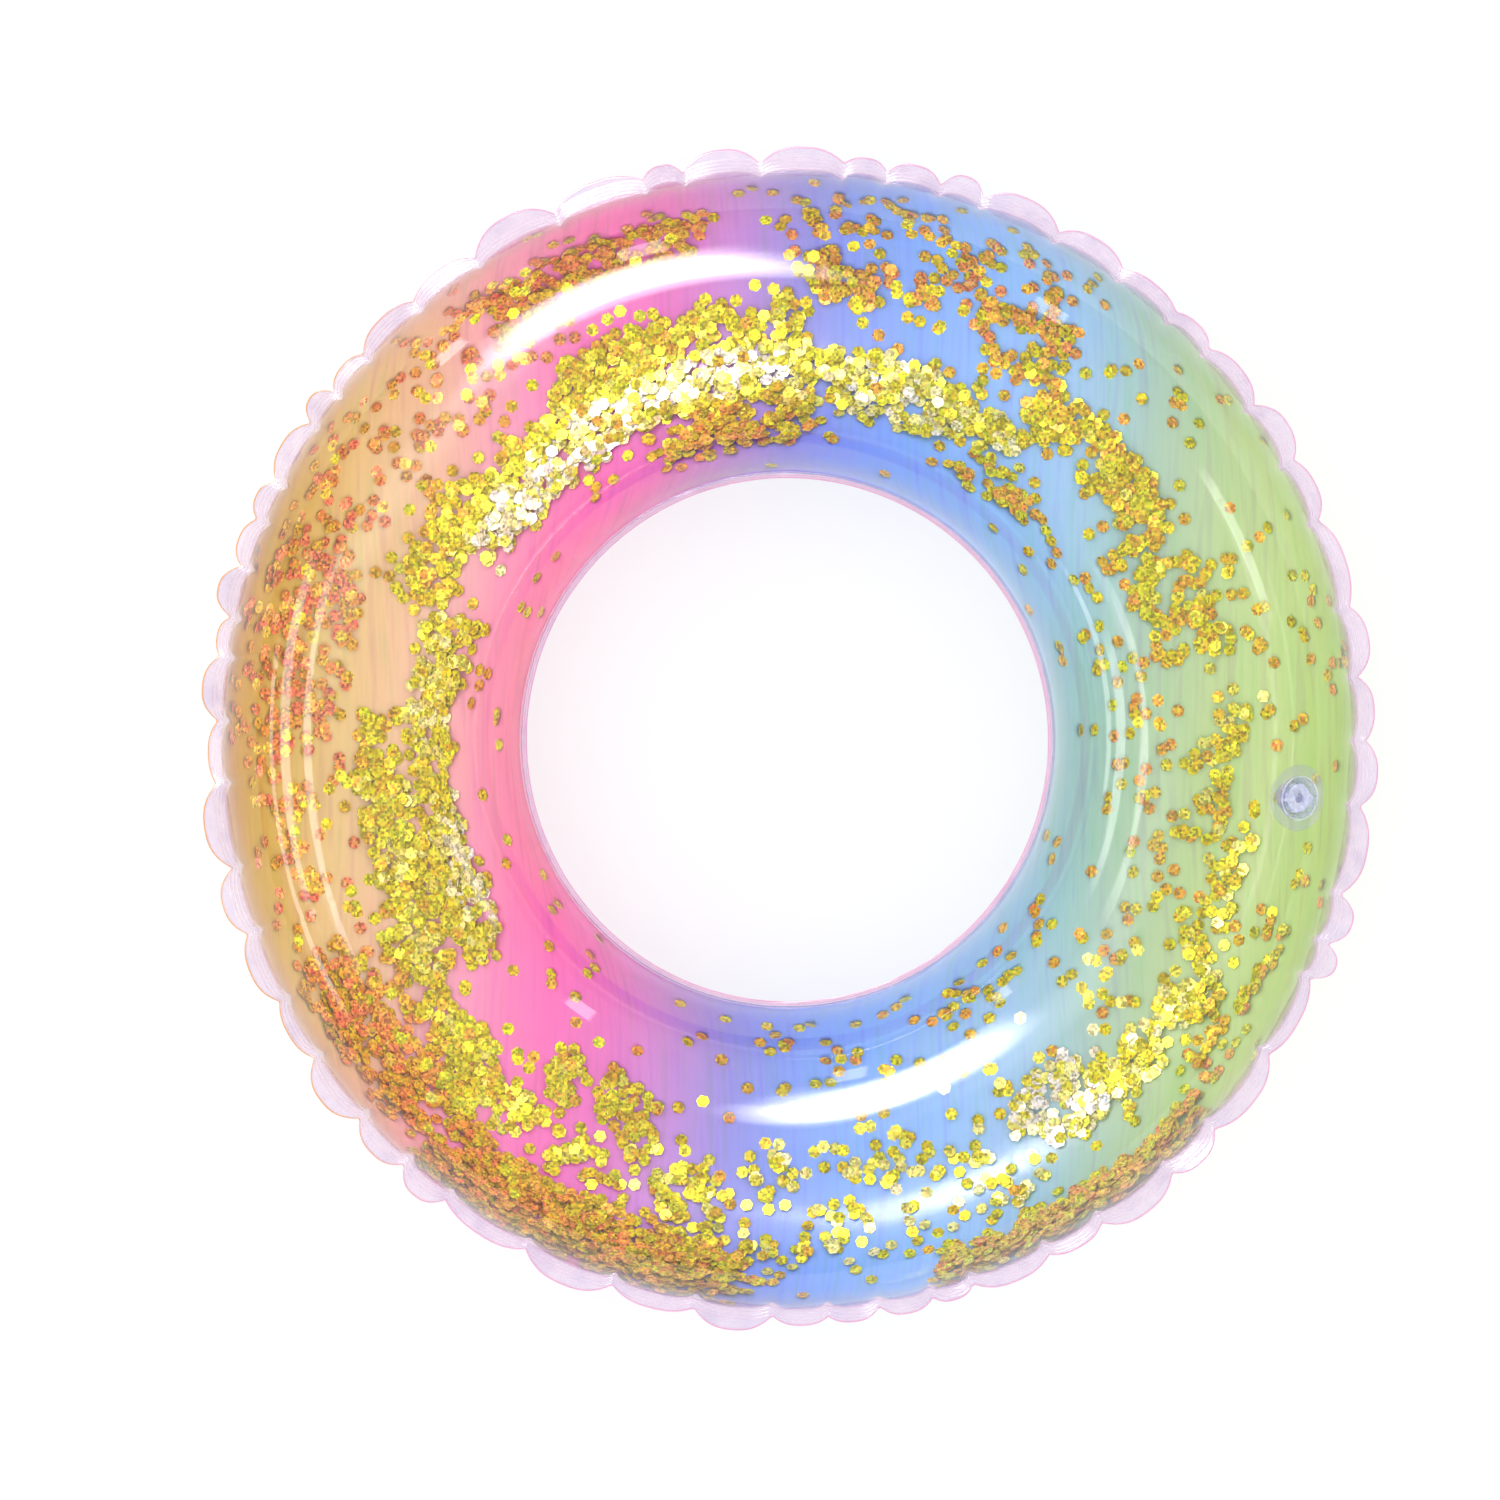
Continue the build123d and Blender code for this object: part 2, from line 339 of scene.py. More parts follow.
# %% The two films
TURNS = 1000
OUTER_ROWS = 60
INNER_ROWS = 36
upper_mesh = facing_out(tube_mesh("upper_film", film_grid(1, TURNS, OUTER_ROWS, INNER_ROWS)))
lower_mesh = facing_out(tube_mesh("lower_film", film_grid(-1, TURNS, OUTER_ROWS, INNER_ROWS)))
flat_r = hole_r + film_length - np.concatenate(film_steps(OUTER_ROWS, INNER_ROWS))
round_ring = np.linspace(0, 2 * math.pi, TURNS, endpoint=False)
store(lower_mesh, "flat_x", np.outer(flat_r, np.cos(round_ring)))
store(lower_mesh, "flat_y", np.outer(flat_r, np.sin(round_ring)))
print("flat film, hole and rim radius:", round(hole_r, 4), round(float(flat_r[0]), 4))
print("film faces:", len(upper_mesh.polygons), "each")

# %% [markdown]
# ## The clear film
# Plasticised PVC film, rolled smooth: it is clear with a faint warm violet cast, and it shines.
# Light passes each face of so thin a film almost straight, so a transparent shader carries it, with
# a mirror layer on top that grows towards glancing angles. The layer-weight node gives the same
# answer from both sides of a face, which a film with two faces needs.

# %% Clear film material
STRETCH_LINE = 9 * MM
STRETCH_DEPTH = 0.35 * MM
HEAD_ON = 0.045


def mirror_share(tree, power, glancing, head_on=HEAD_ON):
    """The share of light a gloss layer mirrors: little head on, much at glancing angles."""
    glance = add(tree, "ShaderNodeLayerWeight", {"Blend": 0.5}).outputs["Facing"]
    steep = add(tree, "ShaderNodeMath", {0: glance, 1: power}, operation="POWER")
    share = add(tree, "ShaderNodeMath", {0: steep, 1: glancing, 2: head_on}, operation="MULTIPLY_ADD")
    return share.outputs[0]


def off_axis(tree, place):
    """A point's place without its height, and its distance from the ring's axis."""
    flat = add(tree, "ShaderNodeVectorMath", {0: place, 1: (1, 1, 0)}, operation="MULTIPLY")
    rho = add(tree, "ShaderNodeVectorMath", {0: flat}, operation="LENGTH")
    return flat.outputs[0], rho.outputs["Value"]


def clear_film(name, tint, polish):
    """A clear film with stretch lines round the ring."""
    material, tree = new_material(name)
    place = add(tree, "ShaderNodeTexCoord").outputs["Object"]
    flat, rho = off_axis(tree, place)
    away = add(tree, "ShaderNodeVectorMath", {0: flat}, operation="NORMALIZE")
    slow = add(tree, "ShaderNodeVectorMath", {0: away, "Scale": 1.6}, operation="SCALE").outputs[0]
    lines = add(tree, "ShaderNodeMath", {0: rho, 1: 1 / STRETCH_LINE}, operation="MULTIPLY")
    round_it = add(tree, "ShaderNodeCombineXYZ", {2: lines})
    along = add(tree, "ShaderNodeVectorMath", {0: slow, 1: round_it}, operation="ADD")
    ripple = add(tree, "ShaderNodeTexNoise", {"Vector": along, "Scale": 1.0, "Detail": 1.0})
    bump = add(tree, "ShaderNodeBump", {
        "Height": ripple.outputs["Fac"], "Strength": 0.5, "Distance": STRETCH_DEPTH})
    shine = add(tree, "ShaderNodeBsdfGlossy", {
        "Color": linear("#FFFFFF"), "Roughness": polish, "Normal": bump})
    through = add(tree, "ShaderNodeBsdfTransparent", {"Color": linear(tint)})
    mixed = add(tree, "ShaderNodeMixShader", {
        0: mirror_share(tree, 5.0, 0.80), 1: through, 2: shine})
    add(tree, "ShaderNodeOutputMaterial", {"Surface": mixed})
    return material


CLEAR = clear_film("clear_pvc_film", "#FDFBFE", 0.045)
upper = object_from("upper_film_clear", upper_mesh, CLEAR)
print("material:", CLEAR.name, "nodes:", len(CLEAR.node_tree.nodes))

# %% [markdown]
# ## The printed film
# The lower film is printed with a slow run of pearly colours across the ring, from straw and peach
# through pink, mauve and blue to a light green. Pearl ink is laid in fine lines, which leaves faint
# streaks of green and lilac. The run is one colour ramp across the ring, a little aslant. An image
# could hold it, but a ramp stays sharp at any size. The streaks were straight when the film was
# flat, so they are a stretched noise on each point's place on the flat film. On the steep walls the
# ink is darkened as a painted shade, and beside the weld it is rosy. A clear coat gives the gloss of
# the PVC over the ink.

# %% Printed film material
PRINT = [
    (0.00, "#D8B01C"), (0.04, "#DABE44"), (0.09, "#E8CE7C"), (0.15, "#EFC596"), (0.187, "#F6B2AC"),
    (0.222, "#FA9CBC"), (0.26, "#FB80BA"), (0.30, "#FA6EBE"), (0.35, "#EA72C4"), (0.395, "#D087D4"),
    (0.43, "#B48EDA"), (0.47, "#9295E6"), (0.51, "#82A2F2"), (0.57, "#7FB2F8"), (0.65, "#8CC2F8"),
    (0.715, "#9ACBEC"), (0.75, "#9DCDD4"), (0.785, "#A6CEB4"), (0.82, "#B0D29E"), (0.86, "#B9D88A"),
    (0.92, "#BFDC7E"), (1.00, "#AACF58"),
]
PRINT_SLANT = 0.09
STREAK_WIDTH = 5 * MM
STREAK_LENGTH = 90 * MM
INK_GRAIN = 1.111 * MM
ROSY_EDGE = 5 * MM


def pearl_print():
    """Pearly print under a glossy coat."""
    material, tree = new_material("pearl_printed_pvc_film")
    place = add(tree, "ShaderNodeTexCoord").outputs["Object"]
    slant = (1, -PRINT_SLANT, 0)
    over = add(tree, "ShaderNodeVectorMath", {0: place, 1: slant}, operation="DOT_PRODUCT")
    reach = {"Value": over.outputs["Value"], "From Min": -rim_r, "From Max": rim_r}
    across = add(tree, "ShaderNodeMapRange", reach).outputs[0]
    run = add(tree, "ShaderNodeValToRGB", {"Fac": across}, stops=PRINT)
    flat_x = add(tree, "ShaderNodeAttribute", attribute_name="flat_x").outputs["Fac"]
    flat_y = add(tree, "ShaderNodeAttribute", attribute_name="flat_y").outputs["Fac"]
    on_flat = add(tree, "ShaderNodeCombineXYZ", {0: flat_x, 1: flat_y})
    fine = (1 / STREAK_WIDTH, 1 / STREAK_LENGTH, 1)
    stretched = add(tree, "ShaderNodeMapping", {"Vector": on_flat, "Scale": fine})
    streak = add(tree, "ShaderNodeTexNoise", {"Vector": stretched, "Scale": 1.0, "Detail": 3.0})
    cast = add(tree, "ShaderNodeValToRGB", {"Fac": streak.outputs["Fac"]}, stops=[
        (0.30, "#D3BCF2"), (0.50, "#FFFFFF"), (0.70, "#C9F2CF")])
    ink = add(tree, "ShaderNodeMix", {
        0: 0.35, 6: run, 7: cast}, data_type="RGBA", blend_type="MULTIPLY")
    rho = off_axis(tree, place)[1]
    # Painted shade: on the steep walls by the rim and by the hole the ink is darkened and deepened,
    # standing for the shade where the film turns away.
    off_crown = add(tree, "ShaderNodeMath", {0: rho, 1: crown_r}, operation="SUBTRACT")
    steep = add(tree, "ShaderNodeMapRange", {
        "Value": add(tree, "ShaderNodeMath", {0: off_crown}, operation="ABSOLUTE").outputs[0],
        "From Min": 0.70 * mid_z, "From Max": 1.05 * mid_z, "To Max": 0.75})
    painted_shade_ink = add(tree, "ShaderNodeGamma", {"Color": ink.outputs[2], "Gamma": 1.45})
    pearl = add(tree, "ShaderNodeMix", {0: steep, 6: ink.outputs[2], 7: painted_shade_ink}, data_type="RGBA")
    by_weld = add(tree, "ShaderNodeMapRange", {
        "Value": rho, "From Min": rim_r - ROSY_EDGE, "From Max": rim_r, "To Max": 0.55})
    edged = add(tree, "ShaderNodeMix", {
        0: by_weld, 6: pearl.outputs[2], 7: linear("#E2A6BE")},
        data_type="RGBA", blend_type="MULTIPLY")
    grain = add(tree, "ShaderNodeTexNoise", {"Vector": place, "Scale": 1 / INK_GRAIN, "Detail": 2.0})
    rough = add(tree, "ShaderNodeMapRange", {
        "Value": grain.outputs["Fac"], "To Min": 0.32, "To Max": 0.46})
    body = add(tree, "ShaderNodeBsdfPrincipled", {
        "Base Color": edged.outputs[2], "Roughness": rough, "IOR": 1.53,
        "Coat Weight": 0.7, "Coat Roughness": 0.05, "Coat IOR": 1.53})
    add(tree, "ShaderNodeOutputMaterial", {"Surface": body})
    return material


PEARL = pearl_print()
lower = object_from("lower_film_printed", lower_mesh, PEARL)
print("materials:", CLEAR.name, PEARL.name)

# %% [markdown]
# ## The welded strip at the rim
# The weld presses both films into one strip about a centimetre wide. The tool leaves three fine
# raised lines in it, and the gathers throw it up and down. It is one grid: across the strip its
# points come from the distance to the weld, and round the ring they follow the scallops.

# %% The scalloped strip
STRIP_TURNS = SCALLOPS * 24
STRIP_ROWS = 24
STRIP_CURL = 1.4
WELD_LINES = (0.5 * MM, 2.4 * MM, 4.4 * MM, 6.4 * MM)
LINE_HEIGHT = 0.3 * MM
LINE_WIDTH = 0.45 * MM
STRIP_RUFFLE = 3.6 * MM


def strip_grid():
    """The strip as a closed skin, and each point's distance from the weld and the cut edge."""
    turn = np.linspace(0, 2 * math.pi, STRIP_TURNS, endpoint=False)
    which, place, swell = rim_at(turn)
    seam = film_point(turn, np.zeros(STRIP_TURNS), 0.0, 1)
    seam_r = np.hypot(seam[:, 0], seam[:, 1]) - WELD
    seam_z = seam[:, 2] - WELD / 2
    pinch = eased(which, place, SCALLOP[:, 2])
    edge_r = pinch + (SCALLOP[which, 3] - pinch) * swell
    throw = STRIP_RUFFLE * LIFT[which] * swell
    share = np.linspace(0, 1, STRIP_ROWS)
    rows = []
    distances = []
    trims = []
    for side, shares in ((1, share), (-1, share[::-1])):
        for v in shares:
            distance = v * (edge_r - seam_r)
            raised = sum(np.exp(-((distance - line) / LINE_WIDTH) ** 2) for line in WELD_LINES)
            half = WELD / 2 * (1 if v < 1 else 0.5) + LINE_HEIGHT * raised
            rho = seam_r + distance
            z = seam_z + throw * v ** STRIP_CURL + side * half
            rows.append(np.stack([rho * np.cos(turn), rho * np.sin(turn), z], -1))
            distances.append(distance)
            trims.append(edge_r - rho)
    return np.array(rows), np.array(distances), np.array(trims)


strip_points, strip_distance, strip_trim = strip_grid()
strip_mesh = tube_mesh("rim_strip", strip_points)
store(strip_mesh, "across", strip_distance)
store(strip_mesh, "to_edge", strip_trim)
facing_out(strip_mesh)
print("strip faces:", len(strip_mesh.polygons))

# %% [markdown]
# Where PVC has been melted and pressed it goes a little milky, and the pressed lines catch a rosy
# tint from the print, or a golden one where the print is straw. The strip's material is the clear
# film with a milky share that grows on the lines and at the cut edge. It reads the distances stored
# on the mesh, so the lines follow every scallop.

# %% Welded strip material
FIRST_LINE_INK = 0.9
OTHER_LINES_INK = 0.35
LINE_REACH = 0.3 * MM
EDGE_FADE = (1.3 * MM, 0.4 * MM)
MILKY_CLOUD = 16.67 * MM


def welded_film(name, lines):
    """Milky clear PVC with rosy lines at set distances from the weld, and a rosy cut edge."""
    material, tree = new_material(name)
    across = add(tree, "ShaderNodeAttribute", attribute_name="across").outputs["Fac"]
    to_edge = add(tree, "ShaderNodeAttribute", attribute_name="to_edge").outputs["Fac"]
    mark = add(tree, "ShaderNodeMapRange", {
        "Value": to_edge, "From Min": EDGE_FADE[0], "From Max": EDGE_FADE[1]})
    for line in lines:
        on_line = {0: across, 1: line, 2: LINE_REACH}
        gap = add(tree, "ShaderNodeMath", on_line, operation="COMPARE").outputs[0]
        ink = FIRST_LINE_INK if line == lines[0] else OTHER_LINES_INK
        soft = add(tree, "ShaderNodeMath", {0: gap, 1: ink}, operation="MULTIPLY").outputs[0]
        mark = add(tree, "ShaderNodeMath", {0: mark, 1: soft}, operation="MAXIMUM").outputs[0]
    place = add(tree, "ShaderNodeTexCoord").outputs["Object"]
    cloud = add(tree, "ShaderNodeTexNoise", {"Vector": place, "Scale": 1 / MILKY_CLOUD, "Detail": 3.0})
    tone = add(tree, "ShaderNodeValToRGB", {"Fac": cloud.outputs["Fac"]}, stops=[
        (0.3, "#D0C8E2"), (0.5, "#F1EAF4"), (0.7, "#DAD8EE")])
    west = add(tree, "ShaderNodeSeparateXYZ", {0: place}).outputs["X"]
    straw = add(tree, "ShaderNodeMapRange", {
        "Value": west, "From Min": -0.60 * rim_r, "From Max": -0.80 * rim_r})
    ink = add(tree, "ShaderNodeMix", {
        0: straw, 6: linear("#D692B8"), 7: linear("#D68E24")}, data_type="RGBA").outputs[2]
    rosy = add(tree, "ShaderNodeMix", {0: mark, 6: tone, 7: ink}, data_type="RGBA").outputs[2]
    haze = add(tree, "ShaderNodeBsdfPrincipled", {
        "Base Color": rosy, "Roughness": 0.28, "IOR": 1.53,
        "Coat Weight": 0.6, "Coat Roughness": 0.06})
    clear = add(tree, "ShaderNodeBsdfTransparent", {"Color": linear("#F4ECF4")})
    milk = add(tree, "ShaderNodeMapRange", {"Value": mark, "To Min": 0.22, "To Max": 0.82})
    body = add(tree, "ShaderNodeMixShader", {0: milk, 1: clear, 2: haze})
    shine = add(tree, "ShaderNodeBsdfGlossy", {"Color": linear("#FFFFFF"), "Roughness": 0.08})
    mixed = add(tree, "ShaderNodeMixShader", {
        0: mirror_share(tree, 4.0, 0.7, 0.05), 1: body, 2: shine})
    add(tree, "ShaderNodeOutputMaterial", {"Surface": mixed})
    return material


WELDED = welded_film("welded_pvc_strip", WELD_LINES)
strip = object_from("rim_strip_welded", strip_mesh, WELDED)
print("material:", WELDED.name, "lines:", len(WELD_LINES))

# %% [markdown]
# ## The lip at the hole
# At the hole the film is stretched, not gathered, so the seam stays smooth, and it is trimmed
# close. It is a thin ring with rounded edges and one weld line, made in the same way.

# %% The lip
LIP_TURNS = 720
LIP_WAVER = 0.25 * MM
LIP_LINE = 1.7 * MM
LIP_SECTION = 20
lip_vertices = frame["nodes"]["inner_seam"].data.vertices
lip_inner_r = min(math.hypot(v.co.x, v.co.y) for v in lip_vertices)
lip_width = hole_r + WELD - lip_inner_r


def lip_grid():
    """The lip as a closed skin, and each point's distance from its outer edge."""
    turn = np.linspace(0, 2 * math.pi, LIP_TURNS, endpoint=False)
    rise = LIP_WAVER * (np.sin(17 * turn) + np.sin(29 * turn + 1) + np.sin(5 * turn))
    rows = []
    distances = []
    for angle in np.linspace(0, 2 * math.pi, LIP_SECTION, endpoint=False):
        reach = math.copysign(abs(math.cos(angle)) ** 0.45, math.cos(angle))
        thick = math.copysign(abs(math.sin(angle)) ** 0.7, math.sin(angle))
        rho = lip_inner_r + lip_width / 2 * (1 + reach)
        z = mid_z + WELD / 2 * thick + rise * (1 - reach) / 2
        rows.append(np.stack([rho * np.cos(turn), rho * np.sin(turn), z], -1))
        distances.append(np.full(LIP_TURNS, lip_width / 2 * (1 - reach)))
    return np.array(rows), np.array(distances)


lip_points, lip_distance = lip_grid()
lip_mesh = tube_mesh("hole_lip", lip_points)
store(lip_mesh, "across", lip_distance)
store(lip_mesh, "to_edge", lip_width - lip_distance)
facing_out(lip_mesh)
lip = object_from("hole_lip_welded", lip_mesh, welded_film("welded_pvc_lip", (LIP_LINE,)))
print("lip inner radius:", round(lip_inner_r, 4))

# %% [markdown]
# ## Foil flakes
# The flakes are six-sided chips of gold holographic film. They gather in drifts where the ring was
# last shaken, thick in the middle and ragged at the edge. Letting thousands of chips fall in a
# rigid-body simulation would be slow and would never land them twice alike. So the drifts are a
# given list: where each lies, how thick it is, and how bright its foil is painted, which is painted
# light for how the heap faces the lamps. Noise breaks their edges into clumps, and the sum is painted as
# a density on a copy of the film's inner face.

# %% Drifts of flakes
# Each row: angles from and to (degrees), distances from the middle (mm), thickness, brightness (painted
# light: how brightly the heap catches the lamps).
DRIFTS_LOWER = [
    (30, 56, 209, 238, 0.88, 0.50), (55, 66, 232, 264, 0.52, 0.36), (17, 31, 198, 220, 0.56, 0.50),
    (64, 92, 180, 212, 0.92, 0.76), (52, 66, 190, 206, 0.85, 0.70), (42, 60, 168, 186, 0.62, 0.42),
    (60, 70, 196, 214, 0.40, 0.50), (10, 26, 216, 240, 0.44, 0.50), (2, 22, 230, 262, 0.20, 0.60),
    (56, 92, 244, 296, 0.26, 0.24), (78, 88, 238, 264, 0.60, 0.28), (90, 124, 214, 240, 0.82, 0.52),
    (124, 142, 206, 232, 0.66, 0.55), (92, 150, 188, 214, 1.05, 0.92), (86, 116, 162, 192, 0.82, 0.40),
    (142, 160, 208, 238, 0.64, 0.50), (100, 126, 268, 292, 0.58, 0.24), (118, 184, 250, 303, 0.20, 0.08),
    (158, 174, 182, 214, 0.40, 0.62), (164, 184, 190, 216, 0.66, 0.68), (184, 214, 196, 244, 0.80, 0.60),
    (190, 212, 192, 208, 0.80, 0.90), (176, 200, 222, 246, 0.40, 0.50), (205, 226, 270, 300, 0.74, 0.28),
    (206, 224, 240, 262, 0.50, 0.58), (228, 265, 280, 305, 1.45, 0.34), (222, 262, 238, 280, 0.40, 0.56),
    (232, 250, 208, 236, 0.50, 0.50), (286, 318, 291, 305, 1.20, 0.32), (300, 312, 226, 264, 0.62, 0.94),
    (262, 300, 226, 290, 0.22, 0.72), (312, 332, 242, 268, 0.62, 0.68), (332, 348, 232, 256, 0.40, 0.60),
    (344, 364, 214, 246, 0.36, 0.55), (262, 330, 156, 192, 0.15, 0.40), (0, 360, 150, 302, 0.06, 0.40),
    (318, 340, 266, 292, 0.30, 0.40), (330, 390, 170, 214, 0.14, 0.38), (158, 230, 252, 300, 0.16, 0.10),
]
DRIFTS_UPPER = [
    (120, 200, 240, 290, 0.10, 0.15), (60, 130, 225, 285, 0.10, 0.45), (180, 240, 200, 270, 0.10, 0.50),
    (270, 330, 200, 262, 0.10, 0.75), (0, 360, 180, 285, 0.03, 0.45),
]
EDGE_SOFT = 11 * MM
CLUMP = 8 * MM
BIG_CLUMP = 2.6 * CLUMP
RAGGED = 1.9
HEAP_FROM = 0.46
HEAP_STEP = 0.20
LOOSE = 0.42


def window(value, low, high, soft):
    """1 between low and high, falling smoothly to 0 over `soft` outside them."""
    rise = np.clip((value - low) / soft + 0.5, 0, 1)
    fall = np.clip((high - value) / soft + 0.5, 0, 1)
    return rise * rise * (3 - 2 * rise) * fall * fall * (3 - 2 * fall)


def drift_field(points, drifts):
    """Thickness of the foil at each point, and its brightness, which is painted light for how the heap
    faces the lamps.
    """
    rho = np.hypot(points[:, 0], points[:, 1])
    turn = np.degrees(np.arctan2(points[:, 1], points[:, 0]))
    grain = np.array([noise.noise(Vector(p) / CLUMP) + 0.6 * noise.noise(Vector(p) / BIG_CLUMP)
                      for p in points])
    thick = np.zeros(len(points))
    painted_brightness = np.zeros(len(points))
    for start, end, near, far, amount, tone in drifts:
        middle = (start + end) / 2
        off = (turn - middle + 180) % 360 - 180
        inside = window(off * math.pi / 180 * rho, (start - middle) * math.pi / 180 * rho,
                        (end - middle) * math.pi / 180 * rho, EDGE_SOFT * 2)
        inside = inside * window(rho, near * MM, far * MM, EDGE_SOFT)
        thick += amount * inside
        painted_brightness += amount * inside * tone
    edge = np.clip((thick * (1 + RAGGED * grain) - HEAP_FROM) / HEAP_STEP, 0, 1)
    heap = edge * edge * (3 - 2 * edge) * np.clip(0.60 + 0.5 * thick, 0, 1.25)
    loose = LOOSE * thick * np.clip(1 + grain, 0, 2)
    return heap + loose, painted_brightness / np.maximum(thick, 1e-6)


print("drifts:", len(DRIFTS_LOWER), "below,", len(DRIFTS_UPPER), "above")

# %% [markdown]
# Geometry Nodes do the scattering, because they place thousands of chips on a curved film in a blink
# and the same way each time. Points fall on the film by the stored thickness. Each point gets a
# place in the pile, a small tilt and any turn about its normal, and a six-sided chip is laid on it.
# Realize Instances makes them real faces, and Set Material gives them the foil.

# %% The flakes' own nodes
TONE_SPREAD = 0.24


def scatter_tree(material):
    """Geometry Nodes that scatter flakes over a film by the thickness stored on it."""
    tree = bpy.data.node_groups.new("scatter_flakes", "GeometryNodeTree")
    sockets = {}
    for name, kind in (
        ("Film", "Geometry"), ("Across", "Float"), ("Thickness", "Float"),
        ("Flakes per m2", "Float"), ("Tilt", "Float"), ("Pile", "Float"), ("Seed", "Int"),
    ):
        sockets[name] = tree.interface.new_socket(
            name=name, in_out="INPUT", socket_type="NodeSocket" + kind).identifier
    tree.interface.new_socket(name="Flakes", in_out="OUTPUT", socket_type="NodeSocketGeometry")
    given = add(tree, "NodeGroupInput").outputs
    drift, tone = (
        add(tree, "GeometryNodeInputNamedAttribute", {"Name": name}, data_type="FLOAT").outputs[0]
        for name in ("drift", "tone"))
    dense = add(tree, "ShaderNodeMath", {0: drift, 1: given["Flakes per m2"]}, operation="MULTIPLY")
    points = add(tree, "GeometryNodeDistributePointsOnFaces", {
        "Mesh": given["Film"], "Density": dense, "Seed": given["Seed"]})
    # Each flake's tone is its drift's painted brightness, a painted light for how the heap faces the
    # lamps, with a random spread of its own.
    spread = add(tree, "FunctionNodeRandomValue", {
        "Min": -TONE_SPREAD, "Max": TONE_SPREAD, "Seed": 3}, data_type="FLOAT")
    shade = add(tree, "ShaderNodeMath", {0: tone, 1: spread.outputs[1]}, operation="ADD")
    toned = add(tree, "GeometryNodeStoreNamedAttribute", {
        "Geometry": points.outputs["Points"], "Name": "tone", "Value": shade})
    height_in_pile = add(tree, "FunctionNodeRandomValue", {"Min": 0.0, "Max": 1.0, "Seed": 5})
    pile = add(tree, "ShaderNodeMath", {0: drift, 1: given["Pile"]}, operation="MULTIPLY")
    lift = add(tree, "ShaderNodeMath", {
        0: pile, 1: height_in_pile.outputs[1]}, operation="MULTIPLY")
    offset = add(tree, "ShaderNodeVectorMath", {
        0: points.outputs["Normal"], "Scale": lift}, operation="SCALE")
    lifted = add(tree, "GeometryNodeSetPosition", {
        "Geometry": toned, "Offset": offset})
    low = add(tree, "ShaderNodeMath", {0: given["Tilt"], 1: -1.0}, operation="MULTIPLY")
    lows = add(tree, "ShaderNodeCombineXYZ", {0: low, 1: low, 2: 0.0})
    highs = add(tree, "ShaderNodeCombineXYZ", {0: given["Tilt"], 1: given["Tilt"], 2: 2 * math.pi})
    lean = add(tree, "FunctionNodeRandomValue", {
        0: lows, 1: highs, "Seed": 7}, data_type="FLOAT_VECTOR")
    turned = add(tree, "FunctionNodeEulerToRotation", {0: lean})
    placed = add(tree, "FunctionNodeRotateRotation", {
        "Rotation": points.outputs["Rotation"], "Rotate By": turned},
        rotation_space="LOCAL")
    radius = add(tree, "ShaderNodeMath", {
        0: given["Across"], 1: 1 / math.sqrt(3)}, operation="MULTIPLY")
    chip = add(tree, "GeometryNodeMeshCylinder", {
        "Vertices": 6, "Radius": radius, "Depth": given["Thickness"]}, fill_type="NGON")
    laid = add(tree, "GeometryNodeInstanceOnPoints", {
        "Points": lifted, "Instance": chip.outputs["Mesh"], "Rotation": placed})
    real = add(tree, "GeometryNodeRealizeInstances", {0: laid})
    flat = add(tree, "GeometryNodeSetShadeSmooth", {
        "Geometry": real, "Shade Smooth": False})
    done = add(tree, "GeometryNodeSetMaterial", {"Geometry": flat, "Material": material})
    add(tree, "NodeGroupOutput", {0: done})
    return tree, sockets


print("a flake's faces:", 8)

# %% [markdown]
# Holographic foil is polyester film with a layer of aluminium and a gold lacquer, pressed with
# microscopic gratings in a grid of dots. Each dot flashes on its own. A cell pattern gives each dot
# its own hue and small tilt, and a painted glint: a brightness of its own that stands for its flash.
# The real dots are about half a millimetre wide. They are drawn 1.4 mm wide, as fine as a picture of
# the whole ring can show. The drift's own tone is painted light: it sets how far a flake is from
# copper to pale gold, standing for how a gathered heap turned to the light looks brighter.

# %% Holographic foil material
DOT = 1.4 * MM


